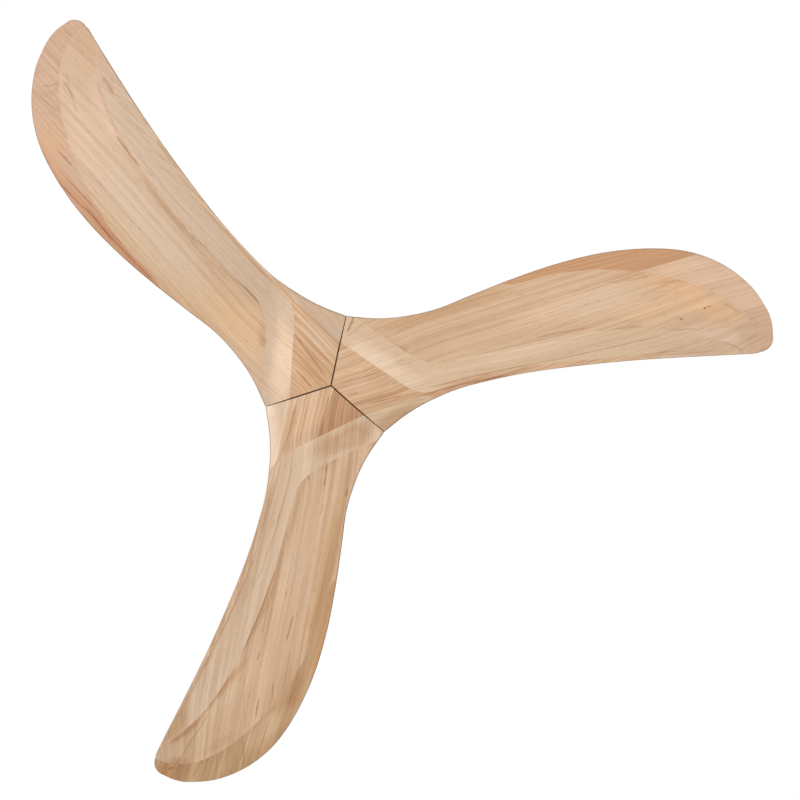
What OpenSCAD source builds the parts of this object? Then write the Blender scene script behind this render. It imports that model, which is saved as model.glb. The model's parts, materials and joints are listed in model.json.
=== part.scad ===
// Ceiling-hung wooden propeller: three laminated sickle blades on a direct-drive motor pod.
// Millimetres, +Z up. The origin is the middle of the face that goes against the ceiling.

/* [Blades] */
// Radius of the joint lines between the blade roots
hub_r = 104; // [102:0.5:108]
// Height of the glued block at the hub
block_h = 41; // [38:0.5:45]
// Thickness of one full board in the block
board_t = 12; // [10:0.5:12]
// Gap between neighbouring blade roots
seam_gap = 0.8; // [0.5:0.1:1.5]
// Thickness left at the leading and trailing edges
edge_t = 5; // [4:0.5:6]
// Radius of the rounded tip
tip_r = 20.3; // [18:0.1:24]

/* [Blade fixing] */
// Diameter of the steel carrier disc
carrier_d = 180; // [176:1:184]
// Thickness of the carrier disc
carrier_t = 5; // [4:0.5:6]
// Thickness of the rubber pads above the blades
pad_t = 2; // [1.5:0.5:3]
// Pitch circle radius of the blade screws
blade_screw_r = 76; // [74:0.5:78]
// Nominal diameter of the blade screws
blade_screw_d = 6; // [5:1:6]
// Outer diameter of the threaded inserts in the wood
insert_d = 10; // [9:0.5:11]
// Length of the threaded inserts
insert_l = 15; // [14:0.5:18]

/* [Motor] */
// Outer diameter of the motor case
motor_d = 128; // [124:1:130]
// Diameter of the fixed shaft
shaft_d = 20; // [20:1:20]
// Outer diameter of the two ball bearings
bearing_d = 42; // [42:1:44]
// Width of the two ball bearings
bearing_w = 12; // [12:0.5:12.5]
// Length of the stator stack
stack_l = 24; // [20:1:24]
// Number of wound teeth on the stator
teeth = 12; // [9:3:12]
// Number of magnets in the rotor
magnet_count = 14; // [10:2:14]

/* [Mounting] */
// Diameter of the ceiling plate
plate_d = 176; // [170:1:178]
// Thickness of the ceiling plate
plate_t = 3; // [2.5:0.5:4]
// Distance between the two fixing slots
slot_spacing = 88.9; // [84:0.1:92]
// Width of a fixing slot
slot_w = 6; // [5:0.5:6.5]
// Length of a fixing slot between its end centres
slot_l = 10; // [6:1:12]
// Diameter of the hole for the supply cable
cable_hole_d = 24; // [20:1:26]

/* [Housing] */
// Outer diameter of the housing
housing_d = 188; // [187:0.5:190]
// Wall of the housing
housing_wall = 1.2; // [1:0.1:1.4]
// Gap between the housing and the ceiling
ceiling_gap = 1.5; // [1:0.5:3]

/* [Hidden] */
$fn = 96;
eps = 0.01;
blade_count = 3;

// Heights of the stack, counted down from the ceiling
bracket_top = -plate_t;
bracket_floor = bracket_top - 33;
shaft_head_t = 4;
floor_t = 3;
washer_t = 1.5;
nut_h = 8;
upper_bearing_z = bracket_floor - washer_t - nut_h - 2 - bearing_w;
stack_top = upper_bearing_z - 2;
stack_bottom = stack_top - stack_l;
lower_bearing_z = stack_bottom - 2 - bearing_w;
shell_t = 3;
motor_top = upper_bearing_z + bearing_w + 1;
motor_bottom = lower_bearing_z - 1;
shell_split = (motor_top + motor_bottom) / 2;
carrier_top = motor_bottom;
carrier_bottom = carrier_top - carrier_t;
block_top = carrier_bottom - pad_t;
block_bottom = block_top - block_h;

// Motor radii, from the outside in
case_wall = 4;
iron_t = 3;
magnet_t = 2.5;
air_gap = 0.8;
iron_r = motor_d / 2 - case_wall;
magnet_r = iron_r - iron_t;
stator_r = magnet_r - magnet_t - air_gap;
yoke_r = 30;
tooth_w = 8;
coil_w = 15;
coil_in_r = yoke_r + 1;
coil_out_r = stator_r - 5;
shaft_bore = 11;
shaft_r = shaft_d / 2;
shell_eye_r = shaft_r + 5;
bearing_r = bearing_d / 2;
race_in_r = shaft_r + 2.3;
race_out_r = bearing_r - 2.5;
ball_r = (race_out_r - race_in_r - 0.2) / 2;
ball_pitch_r = race_out_r - ball_r;
ball_count = 9;

// Bracket, case and screw places
bracket_r = 34;
bracket_wall = 2.5;
bracket_arm_r = 82;
bracket_arm_w = 24;
bracket_screw_r = 74;
case_x = 44;
case_size = [36, 52, 18];
terminal_x = -78;
terminal_size = [22, 32, 16];
tab_r = housing_d / 2 - housing_wall;
tab_z = -13;
tab_angle = 12;
earth_angle = 100;
earth_r = 72;
carrier_screw_r = 48;
shell_screw_r = motor_d / 2 - 9;
carrier_hole_start = 30;
blade_screw_angles = [-38, 0, 38];
seam_shift = seam_gap / 2 / sin(60);

// Pan head screws: stem diameter, stem length, head diameter and head height
earth_screw_size = [4, 2, 8, 3];
controller_screw_size = [3, 12, 5.5, 2];
bracket_screw_size = [5, 5, 9, 3.4];
housing_screw_size = [4, 6, 8, 2.4];
shell_screw_size = [4.4, 3, 7, 2.6];
blade_screw_size = [blade_screw_d, carrier_t + pad_t + insert_l - 3, 10.5, 4];
carrier_screw_d = 5;
carrier_head_d = 10.6;
carrier_head_h = 2.8;

// Electrical parts under the ceiling plate
terminal_ways = [-10, 0, 10];
terminal_row = 11;
terminal_screw_d = 4.8;
wire_hole_d = 4.5;
wire_hole_z = 8;
box_wall = 2;
box_lid_t = 2;
post_inset = 5;
post_d = 7;
post_h = 17;
grommet_lip = 2.5;
grommet_wall = 4;

// Ceiling plate tabs that the housing is screwed to
tab_start = 30;
tab_t = 1.5;
tab_clearance = 0.2;
tab_reach = 9;
tab_overlap = 2;

// Details of the motor
bracket_window_d = 16;
bracket_window_z = 14;
shaft_head_rim = 6;
groove_w = 1.3;
groove_depth = 0.6;
circlip_t = 1.1;
circlip_rim = 2;
tooth_tip_t = 4;
tooth_tip_w = 22;
rivet_hole_d = 7;
rivet_r = 20;
insulator_t = 1;
coil_overhang = 3.5;
coil_side = 5.6;
bearing_seat = 4;
shell_chamfer = 4;
vent_count = 12;
vent_r = 38;
vent_d = 9;
magnet_gap_angle = 3;

// Pads and washers over the blades
pad_in_r = 24;
pad_out_r = 88;
pad_angle = 112;
washer_r = 6;
blade_washer_t = 1.2;

// Tip arc, hollow of the face, and how finely the blade is divided
tip_x = 623.3;
tip_y = 130.6;
tip_start = 105;
tip_end = 8;
tip_te_h = 29;
tip_le_h = 31.5;
tip_h = 30.5;
tip_thickness = [6.5, 5];
cup = 2.2;
root_fade = 3;
back_fullness = 0.7;
steps_per_station = 2;
tip_steps = 4;
side_steps = 12;

// Flat pad under the hub: how far out its edges lie, how steeply the wood rises beyond them,
// and how softly that slope runs into the flat and into the blade face
pad_edge = 38.4;
pad_slope = 0.3;
pad_ease = 10;
pad_normal = [0.788, -0.615];
rim_normal = [0, 1.07];
rim_fade_x = 115;
rim_fade = 60;
dish_soft = 8;
rim_soft = 3;

// Where the full block under the carrier thins down to the back of the blade
block_end_x = 92;
block_fade = 75;

// Blade stations from the root to the tip. Each is the trailing edge x and y, the leading edge
// x and y, the height of both edges above the lowest face, and the thickness in the middle.
STATIONS = [
    [hub_r * cos(60), hub_r * sin(60), hub_r * cos(60), -hub_r * sin(60), 0, 20, block_h],
    [88, 76.5, 92, -73.5, 0, 22, 30],
    [125, 67.5, 130, -64, 0.5, 25, 20],
    [172, 62.5, 180, -59, 1, 28.2, 14],
    [225, 65, 235, -62.5, 1, 28.7, 12],
    [285, 72.1, 300, -66.5, 1.5, 29.05, 11.5],
    [350, 84.1, 370, -67.4, 2, 29.15, 11],
    [415, 98.1, 440, -61.7, 3, 29.45, 10.5],
    [475, 113, 505, -47.1, 4.5, 30, 10],
    [525, 126.5, 559.6, -24.6, 7.5, 30.7, 9.5],
    [565, 137.6, 601.6, 7.9, 12.5, 31.1, 8.5],
    [592, 145, 631.5, 49.2, 19, 31.2, 7.5],
    [605, 148.6, 645.4, 90, 24, 31.4, 7],
    [613, 150.2, 647.3, 114, 27.5, 31.4, 6.7],
    [tip_x + tip_r * cos(tip_start), tip_y + tip_r * sin(tip_start),
     tip_x + tip_r * cos(tip_end), tip_y + tip_r * sin(tip_end), tip_te_h, tip_le_h,
     tip_thickness[0]]
];

function smooth(t) = let (c = min(1, max(0, t))) c * c * (3 - 2 * c);

// Catmull-Rom curve through the stations
function spline(p0, p1, p2, p3, t) =
    0.5 * (2 * p1 + (p2 - p0) * t + (2 * p0 - 5 * p1 + 4 * p2 - p3) * t * t
        + (3 * p1 - p0 - 3 * p2 + p3) * t * t * t);

last = len(STATIONS) - 1;

function station(u) =
    let (i = min(floor(u), last - 1))
    let (before = i > 0 ? STATIONS[i - 1] : 2 * STATIONS[0] - STATIONS[1])
    let (after = i + 2 <= last ? STATIONS[i + 2] : 2 * STATIONS[last] - STATIONS[last - 1])
    spline(before, STATIONS[i], STATIONS[i + 1], after, u - i);

// The chord shrinks along the tip arc from its two ends to the middle
function tip_station(s) =
    let (middle = (tip_start + tip_end) / 2)
    let (half = (tip_start - tip_end) / 2 * (1 - s))
    let (te = tip_te_h + (tip_h - tip_te_h) * (1 - (1 - s) * (1 - s)))
    let (le = tip_le_h + (tip_h - tip_le_h) * s)
    [tip_x + tip_r * cos(middle + half), tip_y + tip_r * sin(middle + half),
     tip_x + tip_r * cos(middle - half), tip_y + tip_r * sin(middle - half),
     te, le, tip_thickness[0] + (tip_thickness[1] - tip_thickness[0]) * s];

// The lower and the higher of two heights, with the corner between them rounded off
function soft_min(a, b, reach) =
    let (low = min(a, b), k = max(0.001, min(reach, 2 * low)))
    low - pow(max(k - abs(a - b), 0), 2) / (4 * k);

function soft_max(a, b, reach) =
    let (high = max(a, b), k = max(0.001, min(reach, 2 * high)))
    high + pow(max(k - abs(a - b), 0), 2) / (4 * k);

// Rise of the wood beyond one edge of the hub pad, along the normal of that edge
function pad_rise(normal, x, y) =
    let (w = normal[0] * x + normal[1] * y - pad_edge)
    pad_slope * (w < pad_ease ? pow(max(w, 0), 2) / (2 * pad_ease) : w - pad_ease / 2);

// The hollow face runs into the slope of the pad, and near the hub the trailing edge turns up
function face_height(q, x, y, v) =
    let (profile = q[4] + (q[5] - q[4]) * (1 - pow(1 - v, cup)))
    let (dish = soft_min(profile, pad_rise(pad_normal, x, y), dish_soft))
    let (rim = pad_rise(rim_normal, x, y) * (1 - smooth((x - rim_fade_x) / rim_fade)))
    soft_max(dish, rim, rim_soft);

function root_bow(u) = pow(max(0, 1 - u / root_fade), 1.5);

function blade_x(q, u, v) =
    q[0] + (q[2] - q[0]) * v + seam_shift
        - hub_r * cos(60) * root_bow(u) * (1 - abs(2 * v - 1));

function blade_y(q, v) = q[1] + (q[3] - q[1]) * v;

function lower(q, u, v) =
    let (x = blade_x(q, u, v), y = blade_y(q, v))
    [x, y, block_bottom + face_height(q, x, y, v)];

// Flat under the carrier, then an even back that thins to both edges
function upper(q, u, v) =
    let (x = blade_x(q, u, v), y = blade_y(q, v))
    let (body = edge_t + (q[6] - edge_t) * pow(sin(180 * v), back_fullness))
    let (back = min(block_h, face_height(q, x, y, v) + max(edge_t * 0.9, body)))
    let (hub = 1 - smooth((x - block_end_x) / block_fade))
    [x, y, block_bottom + back + (block_h - back) * hub];

function ring(q, u) = concat(
    [for (j = [0 : side_steps]) lower(q, u, j / side_steps)],
    [for (j = [side_steps : -1 : 0]) upper(q, u, j / side_steps)]
);

main_rings = last * steps_per_station;
ring_size = 2 * (side_steps + 1);

blade_points = concat(
    [for (i = [0 : main_rings]) each ring(station(i / steps_per_station), i / steps_per_station)],
    [for (i = [1 : tip_steps]) each ring(tip_station(i / (tip_steps + 0.4)), last)]
);

ring_count = main_rings + tip_steps + 1;

// Two triangles of one skin cell between neighbouring rings
function cell(i, j) =
    let (a = i * ring_size + j, b = i * ring_size + (j + 1) % ring_size)
    let (c = a + ring_size, d = b + ring_size)
    [[a, b, c], [b, d, c]];

// Two triangles of the end face between the lower and the upper line of ring i
function end_cell(i, j) =
    let (a = i * ring_size + j, b = a + 1)
    let (d = i * ring_size + ring_size - 1 - j, c = d - 1)
    [[a, d, b], [b, d, c]];

function turned(t) = [t[0], t[2], t[1]];

blade_faces = concat(
    [for (i = [0 : ring_count - 2], j = [0 : ring_size - 1]) each cell(i, j)],
    [for (j = [0 : side_steps - 1]) each end_cell(0, j)],
    [for (j = [0 : side_steps - 1], t = end_cell(ring_count - 1, j)) turned(t)]
);

module blade_solid() {
    polyhedron(points = blade_points, faces = blade_faces, convexity = 8);
}

// Small hardware

module at_blades() {
    for (i = [0 : blade_count - 1]) rotate([0, 0, i * 360 / blade_count]) children();
}

module at_blade_screws() {
    for (a = blade_screw_angles) rotate([0, 0, a]) translate([blade_screw_r, 0, 0]) children();
}

module around(count, r, start = 0) {
    for (i = [0 : count - 1]) rotate([0, 0, start + i * 360 / count]) translate([r, 0, 0]) children();
}

// Pan head screw, its seat at z = 0 and its stem going down
module pan_screw(size) {
    d = size[0];
    l = size[1];
    head_d = size[2];
    head_h = size[3];
    difference() {
        union() {
            cylinder(d = head_d, h = head_h * 0.6);
            translate([0, 0, head_h * 0.6]) cylinder(d1 = head_d, d2 = head_d * 0.7, h = head_h * 0.4);
            translate([0, 0, -l]) cylinder(d = d, h = l + eps);
        }
        translate([0, 0, head_h * 0.45]) cylinder(d = d * 0.75, h = head_h, $fn = 6);
    }
}

module ring_solid(outer_r, inner_r, h) {
    difference() {
        cylinder(r = outer_r, h = h);
        translate([0, 0, -1]) cylinder(r = inner_r, h = h + 2);
    }
}

// Fixed side

module ceiling_plate() {
    tab_face = tab_r - tab_clearance;
    color("gainsboro") {
        difference() {
            translate([0, 0, -plate_t]) cylinder(d = plate_d, h = plate_t);
            translate([0, 0, -plate_t - 1]) cylinder(d = cable_hole_d, h = plate_t + 2);
            for (side = [-0.5, 0.5], end = [-0.5, 0.5])
                translate([0, side * slot_spacing + end * slot_l, -plate_t - 1])
                    cylinder(d = slot_w, h = plate_t + 2);
            for (side = [-0.5, 0.5])
                translate([-slot_w / 2, side * slot_spacing - slot_l / 2, -plate_t - 1])
                    cube([slot_w, slot_l, plate_t + 2]);
            around(4, bracket_screw_r, 45) translate([0, 0, -plate_t - 1])
                cylinder(d = bracket_screw_size[0], h = plate_t + 2);
            rotate([0, 0, earth_angle]) translate([earth_r, 0, -plate_t - 1])
                cylinder(d = earth_screw_size[0], h = plate_t + 2);
        }
        around(3, 0, tab_start) difference() {
            rotate([0, 0, -tab_angle / 2]) rotate_extrude(angle = tab_angle) polygon([
                [plate_d / 2 - tab_overlap, -plate_t], [tab_face - tab_t, -plate_t],
                [tab_face - tab_t, tab_z - tab_reach], [tab_face, tab_z - tab_reach],
                [tab_face, -tab_overlap], [plate_d / 2 - tab_overlap, -tab_overlap]
            ]);
            translate([tab_r - 4, 0, tab_z]) rotate([0, 90, 0])
                cylinder(d = housing_screw_size[0], h = 8);
        }
    }
}

module wire_grommet() {
    color("black") translate([0, 0, -plate_t]) difference() {
        union() {
            cylinder(d = cable_hole_d, h = plate_t - 0.5);
            translate([0, 0, -2]) cylinder(d = cable_hole_d + 2 * grommet_lip, h = 2);
        }
        translate([0, 0, -3]) cylinder(d = cable_hole_d - 2 * grommet_wall, h = plate_t + 4);
    }
}

module terminal_block() {
    color("ivory") difference() {
        translate([terminal_x, -terminal_size[1] / 2, -plate_t - terminal_size[2]]) cube(terminal_size);
        for (y = terminal_ways) {
            translate([terminal_x - 1, y, -plate_t - wire_hole_z]) rotate([0, 90, 0])
                cylinder(d = wire_hole_d, h = terminal_size[0] + 2);
            translate([terminal_x + terminal_row, y, -plate_t - terminal_size[2] - 1])
                cylinder(d = terminal_screw_d + 0.2, h = 7);
        }
    }
}

module terminal_screws() {
    color("silver") for (y = terminal_ways)
        translate([terminal_x + terminal_row, y, -plate_t - terminal_size[2] + 0.5]) difference() {
            cylinder(d = terminal_screw_d, h = 5);
            translate([-3, -0.5, -1]) cube([6, 1, 2]);
        }
}

module earth_screw() {
    color("gold") rotate([0, 0, earth_angle]) translate([earth_r, 0, -plate_t]) rotate([180, 0, 0])
        pan_screw(earth_screw_size);
}

module at_posts() {
    for (y = [post_inset, case_size[1] - post_inset]) translate([case_size[0] / 2, y, 0]) children();
}

module controller_case() {
    color("dimgray") translate([case_x, -case_size[1] / 2, -plate_t - case_size[2]]) difference() {
        union() {
            difference() {
                cube(case_size);
                translate([box_wall, box_wall, -1])
                    cube([case_size[0] - 2 * box_wall, case_size[1] - 2 * box_wall, case_size[2] - 1]);
            }
            at_posts() cylinder(d = post_d, h = post_h);
        }
        at_posts() translate([0, 0, -1]) cylinder(d = controller_screw_size[0], h = post_h - 1);
    }
}

module controller_lid() {
    color("gray") translate([case_x, -case_size[1] / 2, -plate_t - case_size[2] - box_lid_t]) difference() {
        cube([case_size[0], case_size[1], box_lid_t]);
        at_posts() translate([0, 0, -1]) cylinder(d = controller_screw_size[0] + 0.2, h = box_lid_t + 2);
    }
}

module controller_screws() {
    color("silver") translate([case_x, -case_size[1] / 2, -plate_t - case_size[2] - box_lid_t])
        at_posts() rotate([180, 0, 0]) pan_screw(controller_screw_size);
}

// A cup for the shaft head, held up by four arms that clear the electrical parts and the slots
module motor_bracket() {
    color("silver") difference() {
        union() {
            translate([0, 0, bracket_floor])
                cylinder(r = bracket_r, h = bracket_top - bracket_floor - 0.5);
            for (i = [0 : 3]) rotate([0, 0, 45 + 90 * i])
                translate([20, -bracket_arm_w / 2, bracket_top - bracket_wall])
                    cube([bracket_arm_r - 20, bracket_arm_w, bracket_wall]);
        }
        translate([0, 0, bracket_floor + floor_t]) cylinder(r = bracket_r - bracket_wall, h = 40);
        translate([0, 0, bracket_floor - 1]) cylinder(r = shaft_r, h = floor_t + 2);
        around(4, bracket_screw_r, 45) translate([0, 0, bracket_top - bracket_wall - 1])
            cylinder(d = bracket_screw_size[0] + 0.5, h = bracket_wall + 2);
        for (i = [0 : 3]) rotate([0, 0, 90 * i]) translate([20, 0, bracket_floor + bracket_window_z])
            rotate([0, 90, 0]) cylinder(d = bracket_window_d, h = 25);
    }
}

module bracket_screws() {
    color("silver") around(4, bracket_screw_r, 45)
        translate([0, 0, bracket_top - bracket_wall]) rotate([180, 0, 0]) pan_screw(bracket_screw_size);
}

module motor_shaft() {
    color("slategray") difference() {
        union() {
            translate([0, 0, bracket_floor + floor_t])
                cylinder(r = shaft_r + shaft_head_rim, h = shaft_head_t);
            translate([0, 0, motor_bottom - 1.5])
                cylinder(r = shaft_r, h = bracket_floor + floor_t - motor_bottom + 1.5 + eps);
        }
        translate([0, 0, motor_bottom - 3]) cylinder(d = shaft_bore, h = 100);
        translate([0, 0, motor_bottom - 0.5]) ring_solid(shaft_r + 1, shaft_r - groove_depth, groove_w);
    }
}

module lock_washer() {
    color("silver") translate([0, 0, bracket_floor - washer_t])
        ring_solid(shaft_r + shaft_head_rim, shaft_r, washer_t);
}

module shaft_nut() {
    color("silver") translate([0, 0, bracket_floor - washer_t - nut_h]) difference() {
        cylinder(r = shaft_r + 6.5, h = nut_h, $fn = 6);
        translate([0, 0, -1]) cylinder(r = shaft_r, h = nut_h + 2);
    }
}

module stator_core() {
    color("darkgray") translate([0, 0, stack_bottom]) difference() {
        union() {
            ring_solid(yoke_r, shaft_r, stack_l);
            intersection() {
                around(teeth, yoke_r - 3) translate([0, -tooth_w / 2, 0]) cube([40, tooth_w, stack_l]);
                cylinder(r = stator_r, h = stack_l);
            }
            around(teeth, 0) intersection() {
                ring_solid(stator_r, stator_r - tooth_tip_t, stack_l);
                translate([yoke_r, -tooth_tip_w / 2, 0]) cube([40, tooth_tip_w, stack_l]);
            }
        }
        around(6, rivet_r) translate([0, 0, -1]) cylinder(d = rivet_hole_d, h = stack_l + 2);
    }
}

module stator_insulators() {
    color("white") for (z = [stack_bottom - insulator_t, stack_top]) translate([0, 0, z]) difference() {
        ring_solid(stator_r - 1, yoke_r - 4, insulator_t);
        around(teeth, coil_in_r) translate([-1, -coil_w / 2 - 0.2, -1])
            cube([coil_out_r - coil_in_r + 2, coil_w + 0.4, 3]);
    }
}

module stator_windings() {
    color("chocolate") around(teeth, coil_in_r) difference() {
        translate([0, -coil_w / 2, stack_bottom - coil_overhang])
            cube([coil_out_r - coil_in_r, coil_w, stack_l + 2 * coil_overhang]);
        translate([-1, -tooth_w / 2, stack_bottom])
            cube([coil_out_r - coil_in_r + 2, tooth_w, stack_l]);
        for (side = [-1, 1]) rotate([0, 0, side * 180 / teeth])
            translate([-2, side > 0 ? coil_side : -20 - coil_side, stack_bottom - 5])
                cube([30, 20, stack_l + 10]);
    }
}

module bearing_inner(z) {
    color("lightsteelblue") translate([0, 0, z]) ring_solid(race_in_r, shaft_r, bearing_w);
}

module bearing_outer(z) {
    color("lightsteelblue") translate([0, 0, z]) ring_solid(bearing_r, race_out_r, bearing_w);
}

module bearing_balls(z) {
    color("silver") translate([0, 0, z + bearing_w / 2])
        around(ball_count, ball_pitch_r) sphere(r = ball_r - 0.02, $fn = 24);
}

module shaft_circlip() {
    color("dimgray") translate([0, 0, motor_bottom - 0.4]) difference() {
        ring_solid(shaft_r + circlip_rim, shaft_r - groove_depth, circlip_t);
        translate([5, -3, -1]) cube([10, 6, 4]);
    }
}

module housing_skirt() {
    bottom = carrier_top + 2;
    top = -ceiling_gap;
    r = housing_d / 2;
    color("#2b2c2e") difference() {
        rotate_extrude($fn = 180) polygon([
            [r - housing_wall, bottom + 1], [r - housing_wall - 3, bottom + 1],
            [r - housing_wall - 3, bottom],
            [r - 0.8, bottom], [r, bottom + 0.8], [r, top - 0.6], [r - 0.6, top], [r - housing_wall, top]
        ]);
        around(3, r - 3, tab_start) translate([0, 0, tab_z]) rotate([0, 90, 0])
            cylinder(d = housing_screw_size[0] + 0.5, h = 6);
    }
}

module housing_screws() {
    color("#2b2c2e") around(3, housing_d / 2, tab_start) translate([0, 0, tab_z]) rotate([0, 90, 0])
        pan_screw(housing_screw_size);
}

// Turning side

module rotor_upper_shell() {
    r = motor_d / 2;
    color("silver") difference() {
        rotate_extrude() polygon([
            [bearing_r, upper_bearing_z], [bearing_r + bearing_seat, upper_bearing_z],
            [bearing_r + bearing_seat, motor_top - shell_t], [r - case_wall, motor_top - shell_t],
            [r - case_wall, shell_split], [r, shell_split], [r, motor_top - shell_chamfer],
            [r - shell_chamfer, motor_top], [shell_eye_r, motor_top], [shell_eye_r, motor_top - 1],
            [bearing_r, motor_top - 1]
        ]);
        around(6, shell_screw_r) translate([0, 0, motor_top - shell_t - 1])
            cylinder(d = shell_screw_size[0] + 0.1, h = shell_t + 3);
        around(vent_count, vent_r, 15) translate([0, 0, motor_top - shell_t - 1])
            cylinder(d = vent_d, h = shell_t + 3);
    }
}

module rotor_lower_shell() {
    r = motor_d / 2;
    color("silver") difference() {
        rotate_extrude() polygon([
            [shell_eye_r, motor_bottom], [r - 3, motor_bottom], [r, motor_bottom + 3], [r, shell_split],
            [r - case_wall, shell_split], [r - case_wall, motor_bottom + shell_t],
            [bearing_r + bearing_seat, motor_bottom + shell_t],
            [bearing_r + bearing_seat, lower_bearing_z + bearing_w],
            [bearing_r, lower_bearing_z + bearing_w], [bearing_r, motor_bottom + 1],
            [shell_eye_r, motor_bottom + 1]
        ]);
        around(6, carrier_screw_r, carrier_hole_start) translate([0, 0, motor_bottom - 1])
            cylinder(d = carrier_screw_d, h = shell_t + 3);
    }
}

module rotor_iron() {
    color("dimgray") translate([0, 0, stack_bottom - 2]) ring_solid(iron_r, magnet_r, stack_l + 4);
}

module rotor_magnets() {
    span = 360 / magnet_count - magnet_gap_angle;
    color("#3c3c42") translate([0, 0, stack_bottom]) for (i = [0 : magnet_count - 1])
        rotate([0, 0, i * 360 / magnet_count]) rotate_extrude(angle = span)
            translate([magnet_r - magnet_t, 0]) square([magnet_t, stack_l]);
}

module shell_screws() {
    color("silver") around(6, shell_screw_r) translate([0, 0, motor_top]) pan_screw(shell_screw_size);
}

module blade_carrier() {
    color("gainsboro") translate([0, 0, carrier_bottom]) difference() {
        cylinder(d = carrier_d, h = carrier_t);
        translate([0, 0, -1]) cylinder(r = shaft_r + 6, h = carrier_t + 2);
        around(6, carrier_screw_r, carrier_hole_start) {
            translate([0, 0, -1]) cylinder(d = carrier_screw_d + 0.3, h = carrier_t + 2);
            translate([0, 0, -eps])
                cylinder(d1 = carrier_head_d + 0.4, d2 = carrier_screw_d + 0.3, h = carrier_head_h + 0.2);
        }
        at_blades() at_blade_screws() translate([0, 0, -1])
            cylinder(d = blade_screw_d + 0.6, h = carrier_t + 2);
    }
}

// Countersunk screws from below, into the motor case
module carrier_screws() {
    color("silver") translate([0, 0, carrier_bottom]) around(6, carrier_screw_r, carrier_hole_start)
    difference() {
        union() {
            cylinder(d1 = carrier_head_d, d2 = carrier_screw_d, h = carrier_head_h);
            cylinder(d = carrier_screw_d, h = carrier_t + shell_t);
        }
        translate([0, 0, -1]) cylinder(d = 3.4, h = 3, $fn = 6);
    }
}

module blade_pads() {
    color("#222222") translate([0, 0, block_top]) at_blades() difference() {
        rotate([0, 0, -pad_angle / 2]) rotate_extrude(angle = pad_angle)
            translate([pad_in_r, 0]) square([pad_out_r - pad_in_r, pad_t]);
        at_blade_screws() translate([0, 0, -1]) cylinder(d = blade_screw_d + 1, h = pad_t + 2);
        for (a = [-carrier_hole_start, carrier_hole_start])
            rotate([0, 0, a]) translate([carrier_screw_r, 0, -1]) cylinder(d = 12, h = pad_t + 2);
    }
}

module blade_inserts() {
    color("goldenrod") translate([0, 0, block_top - insert_l]) at_blades() at_blade_screws() difference() {
        cylinder(d = insert_d, h = insert_l - 0.3);
        translate([0, 0, 1]) cylinder(d = blade_screw_d, h = insert_l);
    }
}

module blade_washers() {
    color("silver") translate([0, 0, carrier_top]) at_blades() at_blade_screws()
        ring_solid(washer_r, blade_screw_d / 2 + 0.2, blade_washer_t);
}

module blade_screws() {
    color("silver") translate([0, 0, carrier_top + blade_washer_t]) at_blades() at_blade_screws()
        pan_screw(blade_screw_size);
}

// Board 1 is the lowest, what is left of it after carving; boards 2 to 4 are whole
module board(blade, level) {
    first = block_h - 3 * board_t;
    bottom = level == 1 ? block_bottom - 1 : block_bottom + first + (level - 2) * board_t;
    top = level == 4 ? block_top + 1 : block_bottom + first + (level - 1) * board_t;
    rotate([0, 0, (blade - 1) * 360 / blade_count]) difference() {
        intersection() {
            blade_solid();
            translate([-10, -200, bottom]) cube([700, 400, top - bottom]);
        }
        if (level > 2) at_blade_screws()
            translate([0, 0, block_top - insert_l]) cylinder(d = insert_d, h = insert_l + 1);
    }
}

WOODS = [
    ["#cfa27c", "#dcb78f", "#c49268"],
    ["#d3a987", "#d9b592", "#bf8f63"],
    ["#c99a70", "#e0c09b", "#c99970"]
];

module blade_board(blade, level) {
    color(WOODS[blade - 1][(level - 1) % 3]) board(blade, level);
}

ceiling_plate();
wire_grommet();
terminal_block();
terminal_screws();
earth_screw();
controller_case();
controller_lid();
controller_screws();
motor_bracket();
bracket_screws();
motor_shaft();
lock_washer();
shaft_nut();
stator_core();
stator_insulators();
stator_windings();
bearing_inner(upper_bearing_z);  // upper_bearing_inner
bearing_inner(lower_bearing_z);  // lower_bearing_inner
shaft_circlip();
housing_skirt();
housing_screws();
rotor_upper_shell();
rotor_lower_shell();
rotor_iron();
rotor_magnets();
shell_screws();
bearing_outer(upper_bearing_z);  // upper_bearing_outer
bearing_balls(upper_bearing_z);  // upper_bearing_balls
bearing_outer(lower_bearing_z);  // lower_bearing_outer
bearing_balls(lower_bearing_z);  // lower_bearing_balls
blade_carrier();
carrier_screws();
blade_pads();
blade_inserts();
blade_washers();
blade_screws();
blade_board(1, 1);  // blade_1_board_1
blade_board(1, 2);  // blade_1_board_2
blade_board(1, 3);  // blade_1_board_3
blade_board(1, 4);  // blade_1_board_4
blade_board(2, 1);  // blade_2_board_1
blade_board(2, 2);  // blade_2_board_2
blade_board(2, 3);  // blade_2_board_3
blade_board(2, 4);  // blade_2_board_4
blade_board(3, 1);  // blade_3_board_1
blade_board(3, 2);  // blade_3_board_2
blade_board(3, 3);  // blade_3_board_3
blade_board(3, 4);  // blade_3_board_4
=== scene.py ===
import json
import math

import bmesh
import bpy
import numpy as np
from mathutils import Matrix, Vector


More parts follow.
